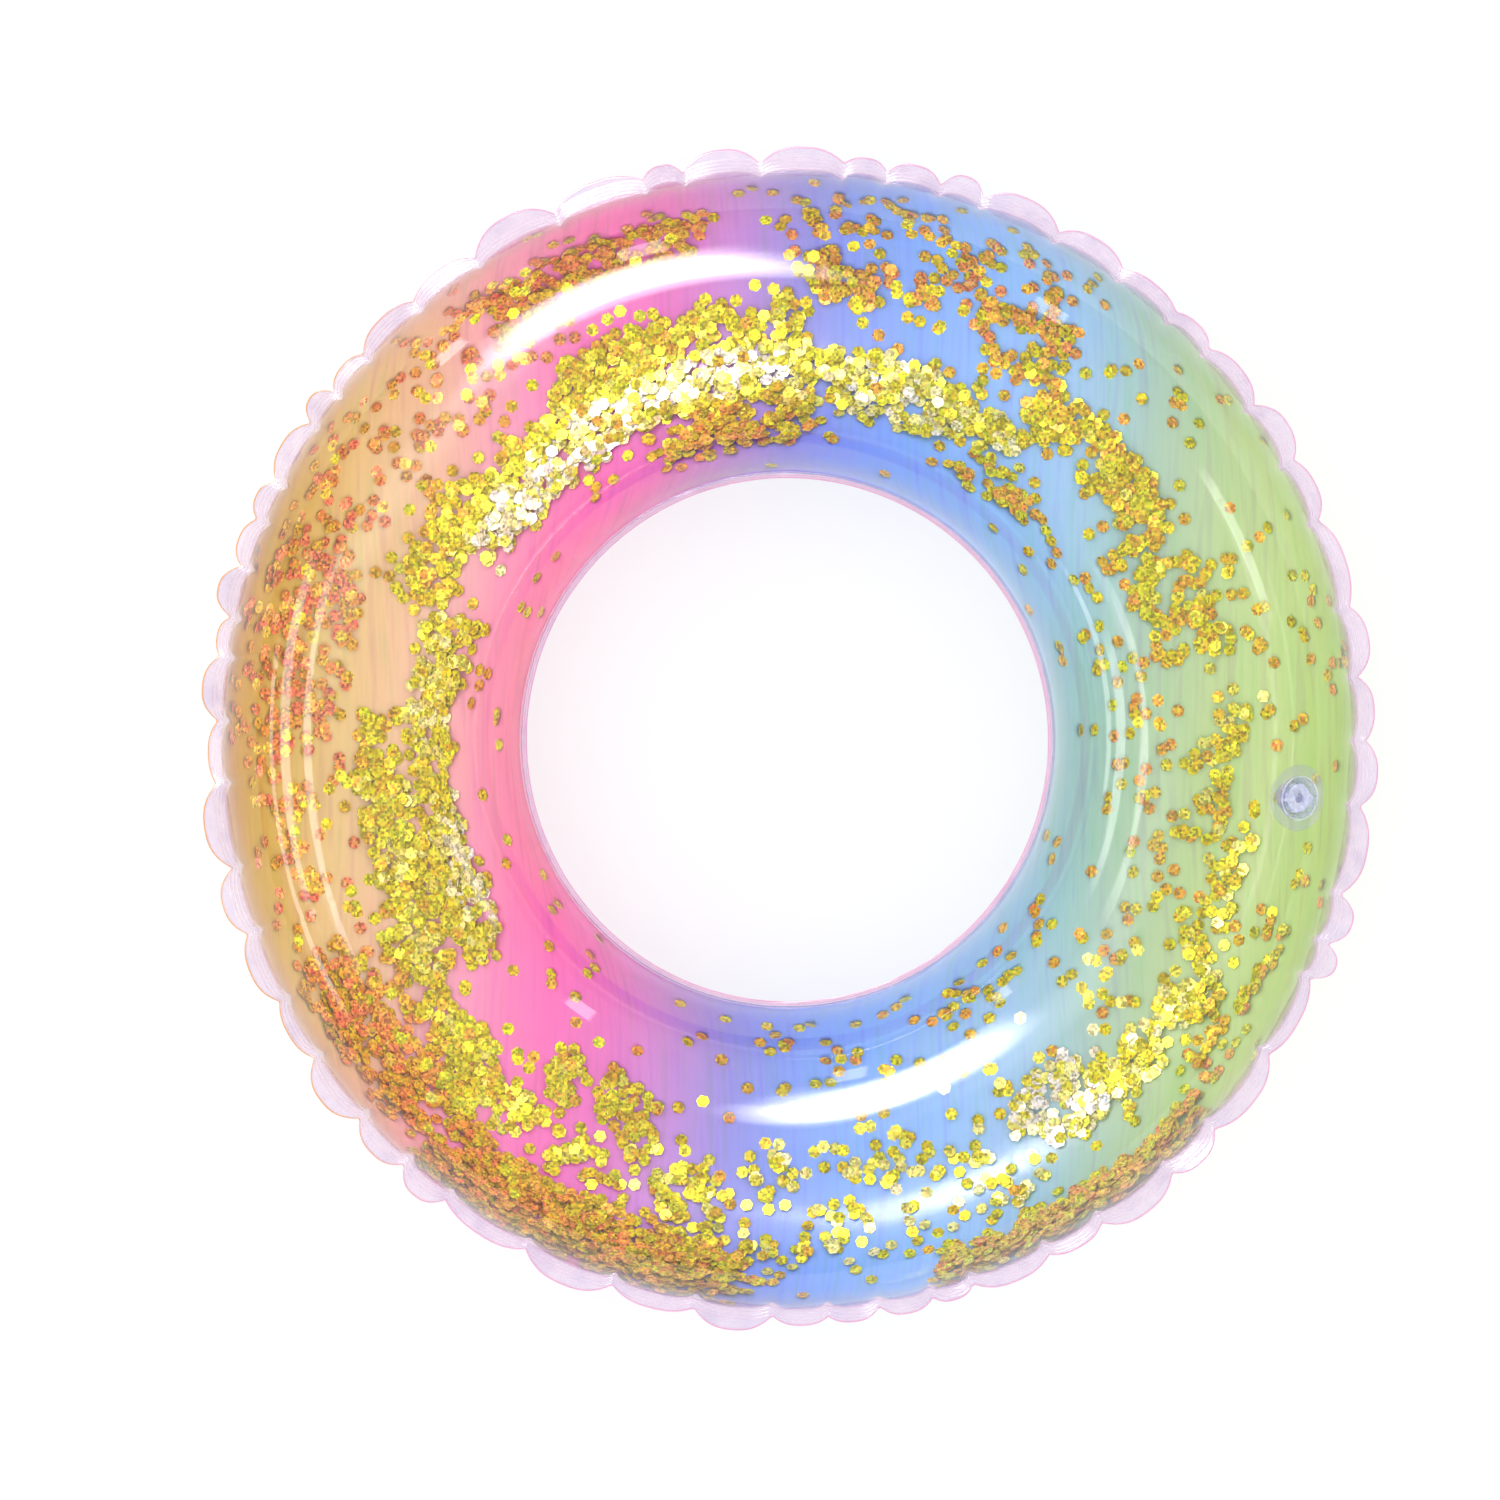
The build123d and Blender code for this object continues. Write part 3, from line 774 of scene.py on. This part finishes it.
def holographic_foil():
    """Gold foil painted from copper and brown to pale yellow by the stored tone, a painted light, with
    painted dot glints.
    """
    material, tree = new_material("gold_holographic_foil")
    tone = add(tree, "ShaderNodeAttribute", attribute_name="tone").outputs["Fac"]
    # Painted light: the stored tone runs the foil from copper to nearly white, standing for how brightly
    # each heap catches the lamps.
    gold = add(tree, "ShaderNodeValToRGB", {"Fac": tone}, stops=[
        (0.00, "#F7A06A"), (0.15, "#F4AE58"), (0.32, "#EBC248"), (0.50, "#DDD62E"),
        (0.68, "#EDEB4C"), (0.85, "#FAF694"), (1.00, "#FFFEE8")])
    place = add(tree, "ShaderNodeTexCoord").outputs["Object"]
    dots = add(tree, "ShaderNodeTexVoronoi", {"Vector": place, "Scale": 1 / DOT, "Randomness": 0.55})
    flash = add(tree, "ShaderNodeSeparateColor", {0: dots.outputs["Color"]}).outputs
    # Painted glints: each dot's colour is scaled darker or brighter by chance, standing for the flash of
    # its grating.
    glow = add(tree, "ShaderNodeMapRange", {"Value": flash[0], "To Min": 0.42, "To Max": 1.55})
    painted_light_foil = add(tree, "ShaderNodeVectorMath", {0: gold, "Scale": glow}, operation="SCALE")
    hue = add(tree, "ShaderNodeMapRange", {"Value": flash[1], "To Min": 0.46, "To Max": 0.535})
    tinted = add(tree, "ShaderNodeHueSaturation", {
        "Hue": hue, "Saturation": 1.05, "Color": painted_light_foil})
    bump = add(tree, "ShaderNodeBump", {
        "Height": flash[2], "Strength": 0.35, "Distance": 0.2 * MM})
    foil = add(tree, "ShaderNodeBsdfPrincipled", {
        "Base Color": tinted, "Metallic": 0.55, "Roughness": 0.34, "Normal": bump})
    add(tree, "ShaderNodeOutputMaterial", {"Surface": foil})
    return material


FOIL = holographic_foil()
print("material:", FOIL.name)

# %% [markdown]
# Most flakes lie in heaps on the lower film. A few cling to the upper film, held by static, but not
# under the valve. The nodes run as a modifier on a sheet just inside each film, their result is
# copied to a plain mesh, and the sheet is thrown away.

# %% Scatter the flakes
FLAKE_ACROSS = 6.3 * MM
FLAKE_THICK = 0.12 * MM
FLAKES_PER_M2 = 68000
VALVE_CLEAR = 24 * MM
BED_TURNS, BED_ROWS = 900, 84
BED_SPAN = (0.012, 0.97)
SCATTER, SCATTER_SOCKETS = scatter_tree(FOIL)


def film_inside(name, side, gap):
    """An open sheet `gap` inside a film, whose faces look into the chamber."""
    columns = BED_TURNS + 1
    turn = np.linspace(0, 2 * math.pi, columns)
    along = np.linspace(*BED_SPAN, BED_ROWS) * film_length
    grid = np.array([film_point(turn, np.full(columns, a), FILM + gap, side) for a in along])
    i, j = np.meshgrid(np.arange(BED_ROWS - 1), np.arange(BED_TURNS), indexing="ij")
    base = i * columns + j
    corners = [base, base + columns, base + columns + 1, base + 1]
    if side < 0:
        corners.reverse()
    mesh = bpy.data.meshes.new(name)
    mesh.from_pydata(grid.reshape(-1, 3), [], np.stack(corners, -1).reshape(-1, 4))
    mesh.update()
    return mesh, grid.reshape(-1, 3)


def scatter(name, side, drifts, tilt, gap, pile, seed):
    """Scatters flakes over one film and returns them as one plain piece."""
    mesh, points = film_inside(name + "_bed", side, gap)
    thick, painted_brightness = drift_field(points, drifts)
    if side > 0:
        thick = thick * (np.linalg.norm(points - np.array(valve_at), axis=1) > VALVE_CLEAR)
    store(mesh, "drift", thick)
    store(mesh, "tone", painted_brightness)
    bed = object_from(name + "_bed", mesh)
    modifier = bed.modifiers.new("scatter", "NODES")
    modifier.node_group = SCATTER
    values = {"Across": FLAKE_ACROSS, "Thickness": FLAKE_THICK, "Flakes per m2": FLAKES_PER_M2,
              "Tilt": tilt, "Pile": pile, "Seed": seed}
    for socket, value in values.items():
        modifier[SCATTER_SOCKETS[socket]] = value
    seen = bed.evaluated_get(bpy.context.evaluated_depsgraph_get())
    flakes = bpy.data.meshes.new_from_object(seen)
    flakes.name = name
    bpy.data.objects.remove(bed)
    print(name, "flakes:", len(flakes.polygons) // 8)
    return object_from(name, flakes)


flakes_lower = scatter("flakes_in_drifts", -1, DRIFTS_LOWER, tilt=math.radians(12),
                       gap=1.1 * MM, pile=2.2 * MM, seed=4)
flakes_upper = scatter("flakes_clinging", 1, DRIFTS_UPPER, tilt=math.radians(4),
                       gap=0.5 * MM, pile=0.4 * MM, seed=9)

# %% [markdown]
# ## The valve
# The valve is moulded in soft clear PVC with a blue toner that hides yellowing. Its hard-edged
# pieces are the model's own nodes, and only get their finish here. A moulding looks clearer where it
# is thin, so the flange and the check flap get a thinner mix of the same material than the tube, the
# cap and the strap. Faint flow marks a few millimetres long give each face its own gloss.

# %% Valve material
FLOW_MARK = 3.846 * MM
FLOW_DEPTH = 0.3 * MM


def moulded_pvc(name, least_milk, most_milk):
    """Soft clear moulded PVC with a blue toner, as milky as its thickness makes it."""
    material, tree = new_material(name)
    place = add(tree, "ShaderNodeTexCoord").outputs["Object"]
    marks = add(tree, "ShaderNodeTexNoise", {"Vector": place, "Scale": 1 / FLOW_MARK, "Detail": 3.0})
    flow = marks.outputs["Fac"]
    tone = add(tree, "ShaderNodeValToRGB", {"Fac": flow}, stops=[
        (0.3, "#C6CAE6"), (0.5, "#D8DBF0"), (0.7, "#EEEFFA")])
    bump = add(tree, "ShaderNodeBump", {
        "Height": flow, "Strength": 0.25, "Distance": FLOW_DEPTH})
    body = add(tree, "ShaderNodeBsdfPrincipled", {
        "Base Color": tone, "Roughness": 0.22, "IOR": 1.53, "Normal": bump,
        "Coat Weight": 0.5, "Coat Roughness": 0.05})
    clear = add(tree, "ShaderNodeBsdfTransparent", {"Color": linear("#F4F5FC")})
    milk = add(tree, "ShaderNodeMapRange", {
        "Value": flow, "From Min": 0.3, "From Max": 0.7,
        "To Min": least_milk, "To Max": most_milk})
    mixed = add(tree, "ShaderNodeMixShader", {0: milk, 1: clear, 2: body})
    shine = add(tree, "ShaderNodeBsdfGlossy", {
        "Color": linear("#FFFFFF"), "Roughness": 0.07, "Normal": bump})
    top = add(tree, "ShaderNodeMixShader", {
        0: mirror_share(tree, 4.0, 0.6), 1: mixed, 2: shine})
    add(tree, "ShaderNodeOutputMaterial", {"Surface": top})
    return material


THIN_PVC = moulded_pvc("thin_moulded_pvc", 0.03, 0.10)
THICK_PVC = moulded_pvc("thick_moulded_pvc", 0.30, 0.48)
FINISHES = {"valve_flange": THIN_PVC, "check_flap": THIN_PVC, "stem_tube": THICK_PVC,
            "strap_anchor": THICK_PVC, "plug_cap": THICK_PVC, "plug_strap": THICK_PVC,
            "pull_tab": THICK_PVC}
for name, finish in FINISHES.items():
    carried = frame["nodes"][name].data
    carried.materials.clear()
    carried.materials.append(finish)
print("valve pieces with a finish:", len(FINISHES))

# %% [markdown]
# The skirt is a thin soft cone that joins the well to the foot of the mouthpiece. It turns inside
# out when the mouthpiece is pulled out, so it can't be one of the model's stiff pieces. It is a mesh
# of its own, turned round the valve's axis from a short profile.

# %% The skirt
WELL_R = 11.98 * MM
SKIRT_WALL = 0.6 * MM
STEM_FOOT_R = 7.3 * MM
SKIRT_TOP = -0.4 * MM
SKIRT_FOOT = -11.0 * MM
CONE_TOP = -2.4 * MM
CUFF_TOP = -10.0 * MM
SKIRT_TURNS = 72


def skirt_mesh():
    """The skirt pushed in: a straight rim, a cone that narrows downwards, a cuff round the stem."""
    cuff_r = STEM_FOOT_R + SKIRT_WALL
    path = [(WELL_R, SKIRT_TOP), (WELL_R, CONE_TOP), (cuff_r, CUFF_TOP), (cuff_r, SKIRT_FOOT)]
    outer = []
    for (r0, z0), (r1, z1) in zip(path, path[1:]):
        outer += [(r0 + (r1 - r0) * t, z0 + (z1 - z0) * t) for t in np.linspace(0, 1, 9)[:-1]]
    outer.append(path[-1])
    inner = [(r - SKIRT_WALL, z) for r, z in reversed(outer)]
    turn = np.linspace(0, 2 * math.pi, SKIRT_TURNS, endpoint=False)
    grid = np.array([np.stack([r * np.cos(turn), r * np.sin(turn), np.full(SKIRT_TURNS, z)], -1)
                     for r, z in outer + inner])
    mesh = tube_mesh("valve_skirt_soft", grid)
    mesh.transform(VALVE)
    return facing_out(mesh)


skirt = object_from("valve_skirt_soft", skirt_mesh(), THICK_PVC)
print("skirt faces:", len(skirt.data.polygons))

# %% [markdown]
# The upper film has a round hole where the valve is welded in. Leaving faces out of the grid would
# give it a stepped edge, so it is cut last, with a boolean, from the finished film.

# %% Cut the valve's hole in the upper film
FILM_HOLE_R = 12.3 * MM
TOOL_SIDES = 64
TOOL_REACH = 9 * MM


def cut_valve_hole(piece):
    """Cuts a round hole along the valve's axis and leaves a plain mesh."""
    n = TOOL_SIDES
    turn = np.linspace(0, 2 * math.pi, n, endpoint=False)
    rings = [np.stack([FILM_HOLE_R * np.cos(turn), FILM_HOLE_R * np.sin(turn), np.full(n, z)], -1)
             for z in (-TOOL_REACH, TOOL_REACH)]
    points = np.concatenate(rings)
    sides = [(k, (k + 1) % n, n + (k + 1) % n, n + k) for k in range(n)]
    caps = [tuple(range(n - 1, -1, -1)), tuple(range(n, 2 * n))]
    tool_mesh = bpy.data.meshes.new("hole_tool")
    tool_mesh.from_pydata(points, [], sides + caps)
    tool_mesh.transform(VALVE)
    tool = object_from("hole_tool", tool_mesh)
    cut = piece.modifiers.new("valve_hole", "BOOLEAN")
    cut.operation = "DIFFERENCE"
    cut.solver = "EXACT"
    cut.object = tool
    seen = piece.evaluated_get(bpy.context.evaluated_depsgraph_get())
    mesh = bpy.data.meshes.new_from_object(seen)
    piece.modifiers.remove(cut)
    piece.data = mesh
    bpy.data.objects.remove(tool)


cut_valve_hole(upper)
print("upper film faces after the cut:", len(upper.data.polygons))

# %% [markdown]
# ## What stands for what
# Each finished piece rides on the body it belongs to and replaces the plain node of the model. The
# flakes ride on the ring as well. The skirt replaces the model's skirt and stays where it was built.

# %% Ride and replace
for piece, node, slot in (
    (upper, "upper_skin", "clear_film"),
    (lower, "lower_skin", "printed_film"),
    (strip, "outer_seam", "welded_seam"),
    (lip, "inner_seam", "welded_seam"),
    (flakes_lower, "sequins_lower", "flake_foil"),
    (flakes_upper, "sequins_upper", "flake_foil"),
):
    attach(piece, "ring")
    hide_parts(node)

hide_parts("valve_skirt")
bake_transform(skirt)
print("pieces on the ring:", 6, "and the skirt from ring to stem")

# %% [markdown]
# ## The floor
# The ring lies on a light table: a sheet of opal acrylic that glows a little from below, so that
# shadows stay faint and the printed film looks lit from within. A plain white floor lit from above
# would leave a dark shadow under the tube. The sheet is mostly a glow, with a little diffuse white.

# %% Floor
OPAL_CLOUD = 333.3 * MM


def light_table():
    """Opal acrylic, lit softly from below."""
    material, tree = new_material("opal_acrylic_light_table")
    place = add(tree, "ShaderNodeTexCoord").outputs["Object"]
    cloud = add(tree, "ShaderNodeTexNoise", {"Vector": place, "Scale": 1 / OPAL_CLOUD}).outputs["Fac"]
    tone = add(tree, "ShaderNodeValToRGB", {"Fac": cloud}, stops=[
        (0.3, "#F9F9FA"), (0.7, "#FDFDFD")])
    top = add(tree, "ShaderNodeBsdfDiffuse", {"Color": tone})
    glow = add(tree, "ShaderNodeEmission", {"Color": linear("#FFFFFF"), "Strength": 0.95})
    both = add(tree, "ShaderNodeMixShader", {0: 0.75, 1: top, 2: glow})
    add(tree, "ShaderNodeOutputMaterial", {"Surface": both})
    return material


FLOOR_SIZE = 8.0
half = FLOOR_SIZE / 2
floor_mesh = bpy.data.meshes.new("floor")
floor_mesh.from_pydata([(-half, -half, 0), (half, -half, 0), (half, half, 0), (-half, half, 0)],
                       [], [(0, 1, 2, 3)])
floor = object_from("floor", floor_mesh, light_table())
print("floor:", FLOOR_SIZE, "m square")

# %% [markdown]
# ## The room
# A white room lights the ring evenly from every side. Seen as a reflection in the film it would
# be a grey veil over the print, so mirror rays see a dimmer room than the rest.

# %% Room
ROOM = 1.7
ROOM_IN_REFLECTIONS = 0.6
world = bpy.data.worlds.new("studio")
bpy.context.scene.world = world
world.use_nodes = True
room = world.node_tree
mirror_ray = add(room, "ShaderNodeLightPath").outputs["Is Glossy Ray"]
level = add(room, "ShaderNodeMapRange", {
    "Value": mirror_ray, "To Min": ROOM, "To Max": ROOM_IN_REFLECTIONS}).outputs[0]
room.links.new(level, room.nodes["Background"].inputs["Strength"])
room.nodes["Background"].inputs["Color"].default_value = linear("#FFFFFF")
bpy.context.scene.view_settings.view_transform = "Standard"
print("room:", ROOM, "in reflections:", ROOM_IN_REFLECTIONS)

# %% [markdown]
# ## The lights
# One large softbox stands high to the upper left and makes the two long highlights. Strips and
# small panels make the short ones. A real softbox is bright in the middle and fades to its edge,
# which an area light doesn't, so its nodes fade it by the place on its face. A light that only
# makes reflections is hidden from diffuse rays, so it can be bright without casting a shadow.

# %% Lights
def panel(name, azimuth, polar, size, radiance, soft, lights_up=False, distance=2.4):
    """A softbox `polar` degrees off the vertical, aimed at the ring, that fades over its soft edge.

    `size` is its width along the horizon and its height, and `soft` is the share that fades.
    """
    lamp = bpy.data.lights.new(name, "AREA")
    lamp.shape = "RECTANGLE"
    lamp.size, lamp.size_y = size
    lamp.energy = radiance * math.pi * size[0] * size[1]
    lamp.use_nodes = True
    tree = lamp.node_tree
    tree.nodes.clear()
    on_face = add(tree, "ShaderNodeNewGeometry").outputs["Parametric"]
    spot = add(tree, "ShaderNodeSeparateXYZ", {0: on_face}).outputs
    fades = []
    for axis in ("X", "Y"):
        middle = add(tree, "ShaderNodeMath", {0: spot[axis], 1: 0.5}, operation="SUBTRACT")
        out = add(tree, "ShaderNodeMath", {0: middle}, operation="ABSOLUTE").outputs[0]
        reach = {"Value": out, "From Min": 0.5, "From Max": 0.5 - soft / 2}
        eased_out = add(tree, "ShaderNodeMapRange", reach, interpolation_type="SMOOTHSTEP")
        fades.append(eased_out.outputs[0])
    fade = add(tree, "ShaderNodeMath", {0: fades[0], 1: fades[1]}, operation="MULTIPLY")
    glow = add(tree, "ShaderNodeEmission", {"Strength": fade})
    add(tree, "ShaderNodeOutputLight", {0: glow})
    turn, tip = math.radians(azimuth), math.radians(polar)
    out = Vector((math.sin(tip) * math.cos(turn), math.sin(tip) * math.sin(turn), math.cos(tip)))
    made = bpy.data.objects.new(name, lamp)
    made.location = out * distance + Vector((0, 0, mid_z))
    side = Vector((-math.sin(turn), math.cos(turn), 0))
    made.rotation_euler = Matrix((side, out.cross(side), out)).transposed().to_euler()
    made.visible_camera = False
    made.visible_diffuse = lights_up
    bpy.context.scene.collection.objects.link(made)
    return made


panel("softbox_key", 117, 43, (1.45, 1.5), 22.0, 0.9)
panel("softbox_fill", 150, 30, (1.6, 1.6), 0.9, 0.8, lights_up=True)
panel("window_right", 60, 66, (0.18, 0.45), 3.2, 0.05)
panel("window_top", 110, 66, (0.20, 0.45), 3.2, 0.05)
panel("window_left", 136, 70, (0.16, 0.40), 3.2, 0.05)
panel("strip_left", 182, 42, (1.6, 0.30), 3.0, 0.5)
panel("strip_far_left", 180, 62, (1.7, 0.35), 3.0, 0.4)
panel("strip_right", 25, 60, (0.9, 0.35), 2.6, 0.4)
panel("strip_low", 190, 74, (1.8, 0.22), 2.6, 0.3)

# %% [markdown]
# ## The camera
# The camera looks almost straight down from six metres, leaning a few degrees to the right, with a
# long lens so that the ring's far and near sides look the same size. Its place comes from that lean,
# and its lens from the width that the frame shows where the ring lies, 0.81 m.

# %% Camera
CAMERA_DISTANCE = 6.0
FRAME_WIDTH = 1500 / 1850
SENSOR = 36.0
LEAN = Vector((0.10, 0.02, 0))
AIM = Vector((-0.020, -0.0055, mid_z))
camera_data = bpy.data.cameras.new("camera")
camera_data.sensor_width = SENSOR
camera_data.lens = SENSOR * CAMERA_DISTANCE / FRAME_WIDTH
camera_data.clip_end = 50
camera = bpy.data.objects.new("camera", camera_data)
away = (LEAN + Vector((0, 0, math.sqrt(1 - LEAN.length_squared)))).normalized()
right = Vector((0, 1, 0)).cross(away).normalized()
camera.matrix_world = Matrix((right, away.cross(right), away)).transposed().to_4x4()
camera.location = AIM + away * CAMERA_DISTANCE
bpy.context.scene.collection.objects.link(camera)
bpy.context.scene.camera = camera
print("lens:", round(camera_data.lens), "mm")

# %% [markdown]
# ## The last step
# The view layer is brought up to date.

# %% Bring the scene up to date
bpy.context.view_layer.update()
